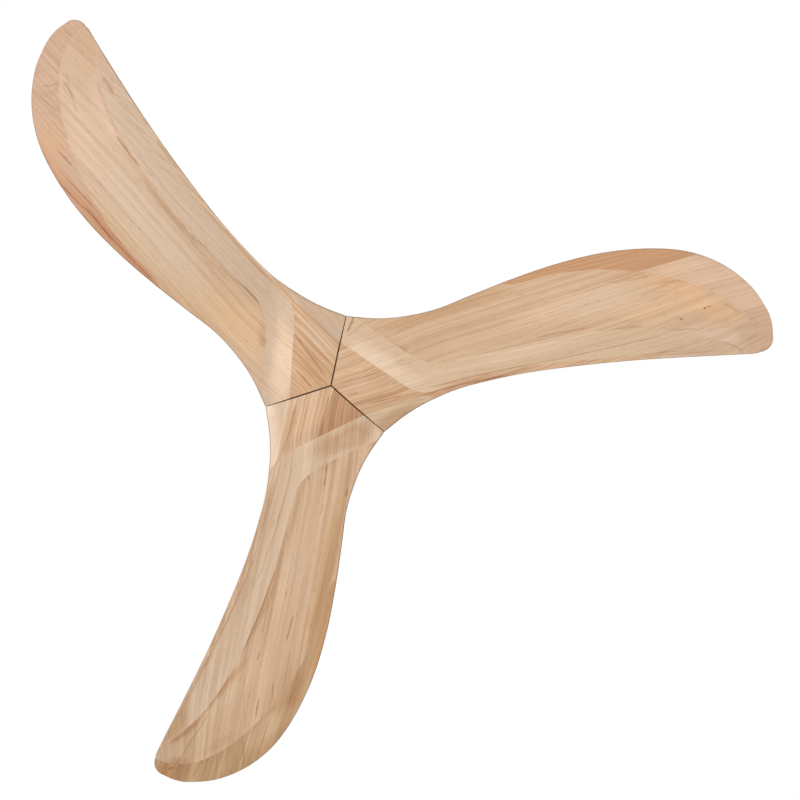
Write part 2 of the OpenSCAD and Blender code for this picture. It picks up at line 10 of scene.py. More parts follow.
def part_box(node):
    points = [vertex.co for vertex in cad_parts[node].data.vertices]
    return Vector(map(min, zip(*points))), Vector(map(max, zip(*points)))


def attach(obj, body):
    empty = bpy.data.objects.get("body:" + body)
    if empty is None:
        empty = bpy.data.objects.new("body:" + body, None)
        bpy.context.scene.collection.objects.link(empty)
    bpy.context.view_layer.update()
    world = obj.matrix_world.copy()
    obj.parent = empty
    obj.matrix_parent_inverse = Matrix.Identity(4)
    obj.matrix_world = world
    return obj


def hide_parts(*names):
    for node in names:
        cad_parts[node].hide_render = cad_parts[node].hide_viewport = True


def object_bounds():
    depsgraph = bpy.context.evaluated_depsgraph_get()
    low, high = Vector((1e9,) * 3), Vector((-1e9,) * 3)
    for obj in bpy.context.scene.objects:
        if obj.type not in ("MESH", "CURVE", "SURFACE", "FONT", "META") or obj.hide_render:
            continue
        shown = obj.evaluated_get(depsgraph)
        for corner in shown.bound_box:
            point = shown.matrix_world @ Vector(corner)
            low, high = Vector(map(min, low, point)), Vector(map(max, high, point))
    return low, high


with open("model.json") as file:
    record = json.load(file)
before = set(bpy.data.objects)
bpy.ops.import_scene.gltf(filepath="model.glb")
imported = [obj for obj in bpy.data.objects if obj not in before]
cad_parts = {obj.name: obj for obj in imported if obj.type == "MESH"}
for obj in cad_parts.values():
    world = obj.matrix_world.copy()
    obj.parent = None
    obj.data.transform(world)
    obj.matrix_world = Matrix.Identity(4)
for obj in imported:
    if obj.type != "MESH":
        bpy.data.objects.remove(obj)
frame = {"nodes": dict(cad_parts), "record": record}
cadLow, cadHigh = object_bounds()
cadNodes = frame["nodes"]
mm = 0.001
noiseMiddle = 0.5
seamAngle = math.radians(60)
bladeTurn = 120


def newMesh(name, points, faces):
    mesh = bpy.data.meshes.new(name)
    mesh.from_pydata([tuple(p) for p in points], [], [tuple(f) for f in faces])
    mesh.validate()
    piece = bpy.data.objects.new(name, mesh)
    bpy.context.scene.collection.objects.link(piece)
    return piece


def feed(tree, socket, value):
    if isinstance(value, bpy.types.NodeSocket):
        tree.links.new(value, socket)
    else:
        socket.default_value = value


def addNode(tree, kind, inputs=(), **settings):
    node = tree.nodes.new("ShaderNode" + kind)
    for key, value in settings.items():
        setattr(node, key, value)
    for socket, value in dict(inputs).items():
        feed(tree, node.inputs[socket], value)
    return node


def calc(tree, operation, *values):
    node = addNode(tree, "Math", operation=operation)
    for index, value in enumerate(values):
        feed(tree, node.inputs[index], value)
    return node.outputs[0]


def ramp(tree, value, low, high, start=0.0, end=1.0):
    node = addNode(tree, "MapRange", {0: value, 1: low, 2: high, 3: start, 4: end})
    node.interpolation_type = "SMOOTHSTEP"
    return node.outputs[0]


def blendColours(tree, factor, first, second, mode="MIX"):
    node = addNode(tree, "Mix", data_type="RGBA", blend_type=mode)
    feed(tree, node.inputs["Factor"], factor)
    for socket, value in ((node.inputs[6], first), (node.inputs[7], second)):
        if not isinstance(value, bpy.types.NodeSocket):
            value = (*value, 1.0)
        feed(tree, socket, value)
    return node.outputs[2]


def noise(tree, vector, scale=1.0, detail=2.0, roughness=0.5):
    values = {"Vector": vector, "Scale": scale, "Detail": detail, "Roughness": roughness}
    return addNode(tree, "TexNoise", values).outputs["Fac"]


def times(tree, first, second):
    return calc(tree, "MULTIPLY", first, second)


def stain(tree, factor, colour, tone):
    return blendColours(tree, factor, colour, tone, "MULTIPLY")


def vector(tree, operation, *values):
    node = addNode(tree, "VectorMath", dict(enumerate(values)), operation=operation)
    return node.outputs["Value" if operation in ("LENGTH", "DOT_PRODUCT") else "Vector"]


def parts(tree, value):
    return tuple(addNode(tree, "SeparateXYZ", {0: value}).outputs)


def objectPlace(tree):
    return addNode(tree, "TexCoord").outputs["Object"]


def startGroup(name, inputs, outputs):
    tree = bpy.data.node_groups.new(name, "ShaderNodeTree")
    for socketName, kind, value in inputs:
        socket = tree.interface.new_socket(socketName, in_out="INPUT", socket_type="NodeSocket" + kind)
        if value is not None:
            socket.default_value = value
    for socketName, kind in outputs:
        tree.interface.new_socket(socketName, in_out="OUTPUT", socket_type="NodeSocket" + kind)
    return tree, tree.nodes.new("NodeGroupInput").outputs, tree.nodes.new("NodeGroupOutput").inputs


def useGroup(tree, group, **values):
    node = tree.nodes.new("ShaderNodeGroup")
    node.node_tree = group
    for key, value in values.items():
        feed(tree, node.inputs[key], value)
    return node.outputs


# Each layer of grain has a stretch along the board, a stretch across it, a detail and a roughness.
grainLook = {
    "swayStretch": (2.4, 14.0, 9.0),
    "rings": {"along": 1.3, "detail": 2.5, "roughness": 0.55},
    "lines": {"along": 4.5, "side": 540.0, "detail": 2.0, "roughness": 0.6},
    "fibre": {"along": 18.0, "side": 1400.0, "detail": 2.5, "roughness": 0.7},
    "pores": {"along": 70.0, "side": 780.0, "detail": 1.0, "roughness": 0.5},
    "broad": {"along": 2.6, "side": 40.0, "detail": 2.0, "roughness": 0.5},
    "poreRamp": (0.60, 0.74),
}


def makeTimberGrain():
    look = grainLook
    tree, given, result = startGroup("timberGrain", [
        ("Place", "Vector", None),
        ("Tilt", "Float", 0.0),        # slope of the grain across the board
        ("Lean", "Float", 1.0),        # how far the growth rings lean through the thickness
        ("Wander", "Float", 0.006),    # how far the lines wave, in metres
        ("Spacing", "Float", 220.0),   # growth rings per metre
        ("Seed", "Float", 0.0),
    ], [(name, "Float") for name in ("Rings", "Lines", "Fibre", "Pores", "Broad")])
    x, y, z = parts(tree, given["Place"])
    slow = addNode(tree, "CombineXYZ", {
        0: calc(tree, "MULTIPLY_ADD", x, look["swayStretch"][0], given["Seed"]),
        1: times(tree, y, look["swayStretch"][1]),
        2: times(tree, z, look["swayStretch"][2]),
    }).outputs[0]
    sway = calc(tree, "SUBTRACT", noise(tree, slow), noiseMiddle)
    across = calc(tree, "MULTIPLY_ADD", x, given["Tilt"], y)
    across = calc(tree, "MULTIPLY_ADD", z, given["Lean"], across)
    across = calc(tree, "MULTIPLY_ADD", sway, given["Wander"], across)

    def layer(along, side, detail, roughness):
        spot = addNode(tree, "CombineXYZ", {
            0: calc(tree, "MULTIPLY_ADD", x, along, given["Seed"]),
            1: times(tree, across, side),
            2: given["Seed"],
        }).outputs[0]
        return noise(tree, spot, detail=detail, roughness=roughness)

    feed(tree, result["Rings"], layer(side=given["Spacing"], **look["rings"]))
    feed(tree, result["Lines"], layer(**look["lines"]))
    feed(tree, result["Fibre"], layer(**look["fibre"]))
    feed(tree, result["Pores"], ramp(tree, layer(**look["pores"]), *look["poreRamp"]))
    feed(tree, result["Broad"], layer(**look["broad"]))
    return tree


streakLook = {
    "wobbleScale": 70.0, "bendPeak": 4.0, "grow": 1.6, "least": 0.2,
    "edge": (1.0, 0.1), "taper": 0.2,
}


def makeStreak():
    look = streakLook
    tree, given, result = startGroup("streak", [
        ("Place", "Vector", None), ("From", "Vector", None), ("To", "Vector", None),
        ("Width", "Float", 0.002), ("Bend", "Float", 0.0),
    ], [("Mask", "Float")])
    flat = vector(tree, "MULTIPLY", given["Place"], (1, 1, 0))
    along = vector(tree, "SUBTRACT", given["To"], given["From"])
    unit = vector(tree, "NORMALIZE", along)
    beside = vector(tree, "CROSS_PRODUCT", (0, 0, 1), unit)
    away = vector(tree, "SUBTRACT", flat, given["From"])
    run = vector(tree, "DOT_PRODUCT", away, unit)
    side = vector(tree, "DOT_PRODUCT", away, beside)
    part = calc(tree, "DIVIDE", run, vector(tree, "LENGTH", along))
    rest = calc(tree, "SUBTRACT", 1.0, part)
    bulge = times(tree, times(tree, part, rest), times(tree, given["Bend"], look["bendPeak"]))
    wobble = noise(tree, flat, look["wobbleScale"])
    bulge = calc(tree, "MULTIPLY_ADD", wobble, given["Width"], bulge)
    reach = calc(tree, "ABSOLUTE", calc(tree, "SUBTRACT", side, bulge))
    wide = times(tree, given["Width"], calc(tree, "MULTIPLY_ADD", wobble, look["grow"], look["least"]))
    body = ramp(tree, calc(tree, "DIVIDE", reach, wide), *look["edge"])
    ends = times(tree, ramp(tree, part, 0.0, look["taper"]), ramp(tree, rest, 0.0, look["taper"]))
    feed(tree, result["Mask"], times(tree, body, ends))
    return tree


patchLook = {"cloudScale": 28.0, "cloudDetail": 3.0, "cloudPush": 0.7, "edge": (1.1, 0.25)}


def makeSoftPatch():
    look = patchLook
    tree, given, result = startGroup("softPatch", [
        ("Place", "Vector", None), ("Centre", "Vector", None), ("Size", "Vector", None),
        ("Turn", "Float", 0.0),
    ], [("Mask", "Float")])
    away = vector(tree, "SUBTRACT", given["Place"], given["Centre"])
    spin = {"Vector": away, "Angle": given["Turn"]}
    turned = addNode(tree, "VectorRotate", spin, rotation_type="Z_AXIS").outputs[0]
    scaled = vector(tree, "DIVIDE", turned, given["Size"])
    reach = vector(tree, "LENGTH", vector(tree, "MULTIPLY", scaled, (1, 1, 0)))
    cloud = noise(tree, given["Place"], look["cloudScale"], look["cloudDetail"])
    reach = calc(tree, "SUBTRACT", reach, look["cloudPush"] * noiseMiddle)
    reach = calc(tree, "MULTIPLY_ADD", cloud, look["cloudPush"], reach)
    feed(tree, result["Mask"], ramp(tree, reach, *look["edge"]))
    return tree


figureLook = {"cloudScale": 16.0, "cloudDetail": 1.5, "sway": 0.03, "lines": (0.35, 1.0), "core": 0.35}


def makeFlatFigure():
    look = figureLook
    tree, given, result = startGroup("flatFigure", [
        ("Place", "Vector", None), ("Centre", "Vector", None), ("Stretch", "Float", 0.35),
        ("Spacing", "Float", 0.006), ("Reach", "Float", 0.06),
    ], [("Lines", "Float")])
    run, side, _ = parts(tree, vector(tree, "SUBTRACT", given["Place"], given["Centre"]))
    cloud = noise(tree, given["Place"], look["cloudScale"], look["cloudDetail"])
    cloud = calc(tree, "SUBTRACT", cloud, noiseMiddle)
    x = times(tree, run, given["Stretch"])
    y = calc(tree, "MULTIPLY_ADD", cloud, look["sway"], side)
    squares = calc(tree, "ADD", calc(tree, "POWER", x, 2.0), calc(tree, "POWER", y, 2.0))
    distance = calc(tree, "SQRT", squares)
    turn = times(tree, calc(tree, "DIVIDE", distance, given["Spacing"]), 2 * math.pi)
    lines = ramp(tree, calc(tree, "SINE", turn), *look["lines"])
    patch = ramp(tree, distance, given["Reach"], times(tree, given["Reach"], look["core"]))
    feed(tree, result["Lines"], times(tree, lines, patch))
    return tree


staveLook = {"blur": 0.0003, "line": (0.0006, 0.0001)}


def makeStave():
    tree, given, result = startGroup("staveSide", [
        ("Place", "Vector", None), ("Edge", "Float", 0.0), ("Slope", "Float", 0.0),
    ], [("Side", "Float"), ("Line", "Float")])
    x, y, _ = parts(tree, given["Place"])
    offset = calc(tree, "SUBTRACT", y, calc(tree, "MULTIPLY_ADD", x, given["Slope"], given["Edge"]))
    feed(tree, result["Side"], ramp(tree, offset, -staveLook["blur"], staveLook["blur"]))
    feed(tree, result["Line"], ramp(tree, calc(tree, "ABSOLUTE", offset), *staveLook["line"]))
    return tree


# Mask for a painted dark line along each seam: painted shade and dirt in the gap between the blades, fading
# out 26 to 48 mm from the centre.
seamShadeLook = {"edge": (0.0011, 0.0003), "fade": (0.048, 0.026)}


def makeSeamShadeEdge():
    tree, given, result = startGroup("seamShadeEdge", [
        ("Place", "Vector", None), ("Shift", "Float", 0.0),
    ], [("Mask", "Float")])
    x, y, _ = parts(tree, given["Place"])
    inward = times(tree, calc(tree, "SUBTRACT", x, given["Shift"]), math.sin(seamAngle))
    away = calc(tree, "MULTIPLY_ADD", calc(tree, "ABSOLUTE", y), -math.cos(seamAngle), inward)
    edge = ramp(tree, away, *seamShadeLook["edge"])
    feed(tree, result["Mask"], times(tree, edge, ramp(tree, x, *seamShadeLook["fade"])))
    return tree


wearLook = {
    "detail": 4.0, "roughness": 0.6, "mottle": (0.35, 0.7),
    "scratchStretch": (900, 60, 120), "scratches": (0.62, 0.72),
}


def makeSurfaceWear():
    look = wearLook
    tree, given, result = startGroup("surfaceWear", [
        ("Scale", "Float", 60.0), ("Amount", "Float", 0.5),
    ], [("Mottle", "Float"), ("Scratches", "Float")])
    place = objectPlace(tree)
    cloud = noise(tree, place, given["Scale"], look["detail"], look["roughness"])
    feed(tree, result["Mottle"], times(tree, ramp(tree, cloud, *look["mottle"]), given["Amount"]))
    stretched = vector(tree, "MULTIPLY", place, look["scratchStretch"])
    fine = ramp(tree, noise(tree, stretched), *look["scratches"])
    feed(tree, result["Scratches"], times(tree, fine, given["Amount"]))
    return tree


timberGrain = makeTimberGrain()
streakGroup = makeStreak()
softPatch = makeSoftPatch()
flatFigure = makeFlatFigure()
staveSide = makeStave()
seamShadeEdge = makeSeamShadeEdge()
surfaceWear = makeSurfaceWear()
print("shared effects ready")


# Places are in millimetres on the blade: x from the hub to the tip, y towards the trailing edge.
# A stave is (y of its edge, slope, tone of the leading side); a rim is the same for the trailing side.
# A patch is (x, y, half length, half width, turn, tone, strength).
# A streak is (from, to, bend, width, strength). A figure is (centre, stretch, spacing, reach, strength).
boardLooks = {
    (1, 1): {
        "tone": (0.7, 0.475, 0.305), "fine": 1.8, "rings": 0.75, "spacing": 330, "tilt": -0.04,
        "wander": 0.002, "seed": 1.3,
        "patches": [
            (60, 40, 55, 12, 3, (0.63, 0.39, 0.235), 0.7),
            (200, 60, 110, 8, 3, (0.61, 0.385, 0.24), 0.7),
            (40, 10, 30, 12, 0, (0.78, 0.56, 0.39), 0.5),
        ],
        "streaks": [
            ((40, 41), (120, 48), 0, 1.3, 0.75), ((8, 0), (78, 3), 0, 0.9, 0.6),
            ((18, 19), (36, 21), 0, 2.2, 0.5), ((100, 54), (260, 65), -3, 2.4, 0.8),
        ],
    },
    (1, 2): {
        "tone": (0.69, 0.505, 0.345), "rings": 0.28, "spacing": 170, "tilt": -0.1, "seed": 4.1,
        "wander": 0.01,
        "patches": [
            (78, 74, 52, 15, -14, (0.56, 0.365, 0.22), 1.0),
            (78, -10, 80, 22, 50, (0.83, 0.64, 0.48), 0.9),
            (185, 54, 60, 8, 4, (0.64, 0.42, 0.265), 0.7),
            (520, 112, 90, 18, 18, (0.62, 0.44, 0.31), 0.6),
            (300, 45, 120, 14, 5, (0.75, 0.56, 0.4), 0.6), (300, 73, 90, 6, 12, (0.6, 0.42, 0.28), 0.7),
        ],
        "streaks": [
            ((118, 57), (262, 66), -2, 1.3, 0.9), ((290, 68), (530, 116), -2, 1.1, 0.6),
            ((130, 47), (300, 62), -2, 1.2, 0.8), ((280, 61), (500, 82), 0, 1.0, 0.75),
            ((195, 21), (340, 34), 0, 1.1, 0.5), ((420, 93), (560, 128), 0, 1.4, 0.4),
            ((44, -66), (66, -92), 0, 3.0, 0.9), ((40, -62), (76, -76), 3, 1.0, 0.6),
        ],
    },
    (1, 3): {
        "tone": (0.665, 0.46, 0.3), "rings": 0.42, "spacing": 230, "tilt": -0.02, "seed": 7.7,
        "patches": [
            (105, -25, 16, 30, -35, (0.6, 0.4, 0.25), 0.7),
            (115, -18, 10, 7, 30, (0.52, 0.34, 0.2), 0.75),
            (190, -20, 90, 30, 0, (0.625, 0.425, 0.275), 0.7),
            (190, -54, 130, 14, 0, (0.58, 0.36, 0.205), 0.9),
            (400, 0, 130, 36, 4, (0.745, 0.54, 0.375), 0.9),
            (538, 34, 95, 28, 44, (0.765, 0.485, 0.285), 0.9),
            (470, -18, 50, 9, 15, (0.68, 0.43, 0.26), 0.6),
            (490, 40, 60, 24, 10, (0.74, 0.5, 0.32), 0.7),
            (560, 110, 90, 26, 25, (0.72, 0.525, 0.39), 0.9),
            (618, 122, 36, 32, 0, (0.61, 0.41, 0.285), 1.0),
            (500, 44, 70, 9, 5, (0.75, 0.49, 0.3), 0.6),
        ],
        "streaks": [
            ((430, -20), (500, -10), 2, 3, 0.3), ((500, 6), (560, 22), -4, 3, 0.35),
            ((400, 48), (470, 60), -2, 3.0, 0.35), ((470, 72), (540, 88), -2, 2.6, 0.35),
            ((548, 108), (594, 142), -4, 1.6, 0.6), ((500, 84), (560, 112), -3, 1.2, 0.5),
            ((586, 62), (606, 84), 0, 1.8, 0.45), ((460, 14), (540, 6), 3, 1.4, 0.35),
            ((300, 25), (400, 38), -1, 2.2, 0.4), ((480, 28), (545, 12), 3, 1.2, 0.35),
        ],
        "knots": [(519, 66), (558, 62), (565, 62)],
    },
    (1, 4): {
        "tone": (0.71, 0.485, 0.335), "rings": 0.22, "spacing": 260, "tilt": -0.08, "seed": 2.9,
        "fine": 1.4,
        "staves": [(-30.3, 0.0235, (0.6, 0.335, 0.18))],
        "rims": [(86, 0.0, (0.63, 0.42, 0.285))],
        "patches": [(540, -8, 50, 18, 15, (0.78, 0.54, 0.375), 0.7)],
    },
    (2, 1): {
        "tone": (0.755, 0.53, 0.355), "fine": 1.7, "rings": 0.8, "spacing": 320, "tilt": -0.03,
        "wander": 0.002, "seed": 11.2, "rimEnd": 150,
        "staves": [(-5.0, 0.115, (0.555, 0.33, 0.19))],
        "rims": [(58.5, -0.01, (0.79, 0.59, 0.445))],
        "patches": [
            (320, 85, 200, 16, 12, (0.61, 0.41, 0.255), 1.0),
            (60, -45, 40, 16, 0, (0.67, 0.44, 0.275), 0.8), (75, 46, 50, 7, 3, (0.63, 0.4, 0.235), 0.9),
            (150, 60, 60, 5, 0, (0.65, 0.45, 0.28), 0.8), (45, 12, 40, 9, 2, (0.8, 0.58, 0.4), 0.6),
        ],
        "streaks": [
            ((30, 44), (120, 50), -1, 2.0, 0.6), ((20, 26), (95, 28), 0, 1.4, 0.4),
            ((10, -2), (80, 5), 0, 1.2, 0.7),
        ],
    },
    (2, 2): {
        "tone": (0.74, 0.56, 0.405), "rings": 0.5, "spacing": 130, "tilt": -0.04, "seed": 14.4,
        "patches": [
            (95, 76, 75, 20, -14, (0.93, 0.74, 0.59), 1.0),
            (75, -35, 70, 22, 52, (0.6, 0.385, 0.225), 0.9),
            (70, -45, 24, 12, 52, (0.69, 0.49, 0.32), 0.7),
            (300, 62, 160, 12, 6, (0.62, 0.42, 0.265), 0.6),
            (400, 95, 180, 12, 14, (0.62, 0.41, 0.245), 0.9),
            (560, 130, 60, 16, 16, (0.6, 0.385, 0.22), 0.9),
            (430, 72, 90, 12, 14, (0.7, 0.5, 0.35), 0.6),
        ],
        "streaks": [
            ((100, 50), (400, 86), -10, 2.2, 0.4), ((140, 33), (330, 52), -4, 1.8, 0.35),
            ((300, 62), (560, 130), -2, 2.0, 0.35),
        ],
    },
    (2, 3): {
        "tone": (0.685, 0.48, 0.32), "rings": 0.7, "spacing": 150, "tilt": -0.01, "seed": 17.9,
        "wander": 0.018,
        "patches": [
            (300, -46, 240, 16, 0, (0.565, 0.355, 0.195), 0.9),
            (110, -15, 28, 18, 52, (0.56, 0.37, 0.225), 0.7),
            (250, 20, 150, 7, 4, (0.56, 0.365, 0.215), 0.8),
            (365, 38, 60, 9, 13, (0.535, 0.325, 0.18), 0.85),
            (300, 0, 110, 22, 0, (0.715, 0.515, 0.355), 0.8),
            (445, 30, 50, 22, 8, (0.74, 0.525, 0.36), 0.8),
            (500, 66, 60, 26, 30, (0.725, 0.53, 0.36), 0.9),
            (590, 112, 60, 14, 32, (0.7, 0.51, 0.325), 0.9),
            (480, -22, 130, 24, 14, (0.62, 0.415, 0.255), 1.0),
            (575, 60, 40, 10, 48, (0.62, 0.43, 0.26), 0.8),
            (490, 72, 75, 8, 27, (0.6, 0.37, 0.215), 0.9),
            (565, 113, 48, 8, 40, (0.6, 0.37, 0.215), 0.9),
            (618, 118, 26, 12, 75, (0.54, 0.35, 0.205), 0.9),
            (490, -4, 50, 14, 10, (0.65, 0.45, 0.29), 0.8),
        ],
        "streaks": [
            ((120, 8), (148, 3), 2, 3.0, 0.8), ((116, -17), (154, -19), -1, 1.6, 0.9),
            ((176, -21), (198, -20), -3, 1.0, 0.7), ((352, -14), (398, -11), 0, 1.8, 0.9),
            ((418, 25), (434, 26), 0, 1.6, 0.8), ((490, 12), (525, 11), 0, 2.0, 0.85),
            ((146, -54), (162, -55), 0, 1.6, 0.85), ((290, -12), (310, -12), -6, 0.8, 0.6),
            ((318, 3), (334, 4), 0, 1.2, 0.6), ((280, 24), (430, 52), -2, 2.6, 0.7),
            ((400, 28), (330, 30), 1, 1.4, 0.5), ((450, 56), (560, 104), -3, 1.6, 0.35),
            ((540, 94), (592, 136), -3, 2.0, 0.45), ((520, 78), (640, 122), 0, 2.2, 0.45),
            ((450, 40), (540, 24), 3, 1.2, 0.3), ((330, -34), (470, -40), 1, 1.2, 0.5),
            ((400, -20), (500, -22), 0, 1.6, 0.4), ((310, 48), (420, 62), -1, 1.2, 0.35),
            ((446, -32), (560, -20), -1, 3.0, 0.5), ((460, -4), (500, -14), 2, 1.6, 0.5),
        ],
    },
    (2, 4): {
        "tone": (0.56, 0.36, 0.205), "rings": 0.8, "spacing": 170, "tilt": -0.1, "seed": 21.5,
        "wander": 0.012,
        "patches": [
            (500, -32, 90, 14, 12, (0.48, 0.275, 0.135), 0.9),
            (370, -62, 130, 8, 0, (0.53, 0.3, 0.145), 0.9),
            (640, 132, 40, 26, 40, (0.49, 0.285, 0.135), 0.9),
            (545, 0, 70, 24, 36, (0.66, 0.47, 0.295), 1.0),
            (600, 30, 50, 14, 55, (0.6, 0.4, 0.235), 0.8),
        ],
        "streaks": [
            ((560, 22), (610, 14), 0, 1.4, 0.6), ((520, -10), (600, -2), 0, 2.0, 0.5),
            ((560, 60), (630, 52), 1, 2.0, 0.4), ((540, 25), (575, 24), 0, 1.4, 0.5),
            ((594, 76), (640, 88), 0, 1.6, 0.6), ((590, 68), (644, 76), 0, 1.4, 0.4),
            ((628, 118), (634, 128), 0, 2.6, 0.7), ((566, 41), (600, 44), 0, 1.4, 0.5),
            ((600, 104), (645, 118), 0, 1.2, 0.4),
        ],
    },
    (3, 1): {
        "tone": (0.67, 0.435, 0.26), "fine": 1.7, "rings": 0.85, "spacing": 300, "tilt": -0.1,
        "wander": 0.002, "seed": 24.6,
        "rims": [(57, 0.0, (0.66, 0.475, 0.325))],
        "patches": [
            (60, 42, 60, 16, 5, (0.71, 0.52, 0.365), 0.9), (215, 61, 90, 6, 4, (0.63, 0.42, 0.26), 0.7),
        ],
        "streaks": [
            ((12, 4), (96, 21), -1, 2.6, 0.75), ((18, 22), (98, 27), 0, 1.6, 0.6),
            ((16, -23), (56, -18), 0, 2.6, 0.7), ((36, 50), (130, 56), 1, 1.2, 0.5),
            ((10, -6), (66, -2), 0, 1.4, 0.5),
        ],
    },
    (3, 2): {
        "tone": (0.61, 0.45, 0.325), "rings": 0.12, "spacing": 120, "tilt": -0.1, "seed": 27.3,
        "figure": ((470, 92, -0.12), 0.13, 10.0, 40, 0.2),
        "patches": [
            (78, -16, 110, 26, 54, (0.82, 0.6, 0.425), 1.0),
            (120, 40, 70, 20, 25, (0.66, 0.48, 0.34), 0.8),
            (80, 72, 50, 16, -14, (0.62, 0.44, 0.3), 0.9),
            (560, 128, 50, 12, 17, (0.61, 0.42, 0.29), 0.8),
        ],
        "streaks": [
            ((190, 61), (420, 97), -6, 1.8, 0.85), ((400, 94), (600, 146), -2, 1.6, 0.6),
            ((515, 101), (548, 110), 1, 4.0, 0.6), ((240, 40), (460, 66), -5, 2.2, 0.3),
        ],
    },
    (3, 3): {
        "tone": (0.61, 0.425, 0.28), "rings": 0.34, "spacing": 230, "tilt": -0.12, "seed": 30.8,
        "patches": [
            (165, -25, 100, 38, 0, (0.685, 0.455, 0.265), 0.9),
            (370, 0, 170, 40, 9, (0.645, 0.48, 0.345), 1.0),
            (360, -44, 160, 14, 8, (0.6, 0.42, 0.26), 0.8),
            (510, 78, 70, 20, 25, (0.7, 0.5, 0.36), 0.8),
            (510, 30, 70, 36, 20, (0.68, 0.475, 0.32), 0.8),
            (118, -20, 12, 8, 40, (0.5, 0.3, 0.15), 0.85),
            (130, -8, 26, 10, 50, (0.56, 0.35, 0.18), 0.6),
            (240, -56, 110, 8, 0, (0.58, 0.37, 0.215), 0.7),
        ],
        "streaks": [
            ((135, 14), (300, 26), 3, 2.4, 0.6), ((270, 20), (420, 42), -3, 5.0, 0.45),
            ((420, 48), (480, 60), 0, 2.4, 0.75), ((200, 10), (420, 40), -4, 2.0, 0.45),
            ((440, 50), (560, 108), -6, 6.0, 0.3), ((300, -8), (470, 10), -2, 1.4, 0.3),
            ((330, -24), (500, -2), -2, 1.4, 0.3), ((560, 60), (592, 68), 0, 1.8, 0.75),
            ((540, 44), (600, 84), -2, 2.0, 0.45), ((150, 19), (250, 18), 1, 1.4, 0.5),
        ],
    },
    (3, 4): {
        "tone": (0.57, 0.37, 0.25), "rings": 0.4, "spacing": 240, "tilt": -0.12, "seed": 33.1,
        "figure": ((640, 56, -0.12), 0.6, 24.0, 70, 0.2),
        "patches": [
            (400, -55, 220, 18, 6, (0.51, 0.255, 0.125), 1.0),
            (500, -40, 100, 14, 16, (0.55, 0.3, 0.165), 0.9),
            (545, -8, 60, 24, 38, (0.6, 0.365, 0.215), 1.0),
        ],
        "streaks": [
            ((210, -60), (420, -53), 2, 1.4, 0.8), ((290, -65), (420, -55), 0, 1.6, 0.8),
            ((380, -60), (450, -49), 0, 2.2, 0.9), ((430, -52), (540, -42), -3, 2.2, 0.8),
            ((400, -44), (500, -36), 0, 1.8, 0.6), ((498, -17), (534, -14), 0, 2.0, 0.9),
            ((520, -38), (580, -20), -2, 1.6, 0.6), ((548, 36), (606, 29), -4, 1.6, 0.6),
            ((590, 137), (644, 124), -5, 1.6, 0.6), ((594, 72), (612, 40), -6, 1.6, 0.4),
        ],
    },
}
timberNames = {
    (1, 1): "timber_honey", (1, 2): "timber_pale", (1, 3): "timber_tan", (1, 4): "timber_red",
    (2, 1): "timber_red", (2, 2): "timber_tan", (2, 3): "timber_pale", (2, 4): "timber_honey",
    (3, 1): "timber_tan", (3, 2): "timber_pale", (3, 3): "timber_honey", (3, 4): "timber_red",
}
timberFinish = {
    "dark": (0.66, 0.52, 0.40), "streak": (0.62, 0.46, 0.34), "knot": (0.16, 0.08, 0.045),
    # The edge tone is painted shade for the sides of the boards, and the seam tone is painted shade and dirt
    # in the gaps between the blades.
    "seam": (0.07, 0.035, 0.015), "edge": (0.50, 0.39, 0.29), "fibre": (0.72, 0.62, 0.52),
    "pore": (0.57, 0.45, 0.34), "shade": (0.87, 0.79, 0.70), "pale": (1.08, 1.09, 1.12),
    "lean": 0.6, "wander": 0.005, "rimFade": 25, "staveLine": 0.5, "knotHalf": 2.5, "knotWidth": 1.5,
    "ringRamp": (0.36, 0.70), "ringDepth": 0.6, "lightRamp": (0.52, 0.30), "lightDepth": 0.9,
    "shadeRamp": (0.42, 0.75), "shadeLeast": 0.14, "shadeGrow": 0.28,
    "lineRamp": (0.38, 0.68), "lineDepth": 0.34, "fibreRamp": (0.35, 0.75), "fibreDepth": 0.30,
    "poreDepth": 0.34, "edgeShadeRamp": (0.88, 0.60), "seamShadeDepth": 0.9, "seamShadeBoards": 2,
    "roughness": 0.42, "roughRange": 0.14, "specular": 0.3, "coat": 0.06, "coatRoughness": 0.28,
    "poreDip": -0.6, "fibreRise": 0.5, "bump": 0.10, "bumpReach": 0.0002,
}


def newMaterial(name):
    material = bpy.data.materials.new(name)
    material.use_nodes = True
    tree = material.node_tree
    shader = tree.nodes["Principled BSDF"]
    return material, tree, shader


def addBump(tree, shader, height, strength, distance):
    bump = addNode(tree, "Bump", {"Strength": strength, "Distance": distance, "Height": height})
    tree.links.new(bump.outputs[0], shader.inputs["Normal"])


def seamShift():
    return bladeShape["seamGap"] / 2 / math.sin(seamAngle)


def onBlade(x, y, z=0):
    return (x * mm, y * mm, z)


def addPatches(tree, place, colour, look):
    for x, y, length, width, turn, tone, strength in look.get("patches", []):
        size = (length * mm, width * mm, 1)
        mask = useGroup(tree, softPatch, Place=place, Centre=onBlade(x, y), Size=size,
                        Turn=math.radians(-turn))["Mask"]
        colour = blendColours(tree, times(tree, mask, strength), colour, tone)
    return colour


def addStaves(tree, place, colour, look):
    finish = timberFinish
    along = parts(tree, place)[0]
    for kind in ("staves", "rims"):
        for edge, slope, tone in look.get(kind, []):
            stave = useGroup(tree, staveSide, Place=place, Edge=edge * mm, Slope=slope)
            covered = stave["Side"]
            if kind == "rims" and "rimEnd" in look:
                end = look["rimEnd"]
                kept = ramp(tree, along, (end + finish["rimFade"]) * mm, end * mm)
                covered = times(tree, covered, kept)
            pair = (colour, tone) if kind == "rims" else (tone, colour)
            colour = blendColours(tree, covered, *pair)
            line = times(tree, stave["Line"], finish["staveLine"])
            colour = stain(tree, line, colour, finish["streak"])
    return colour


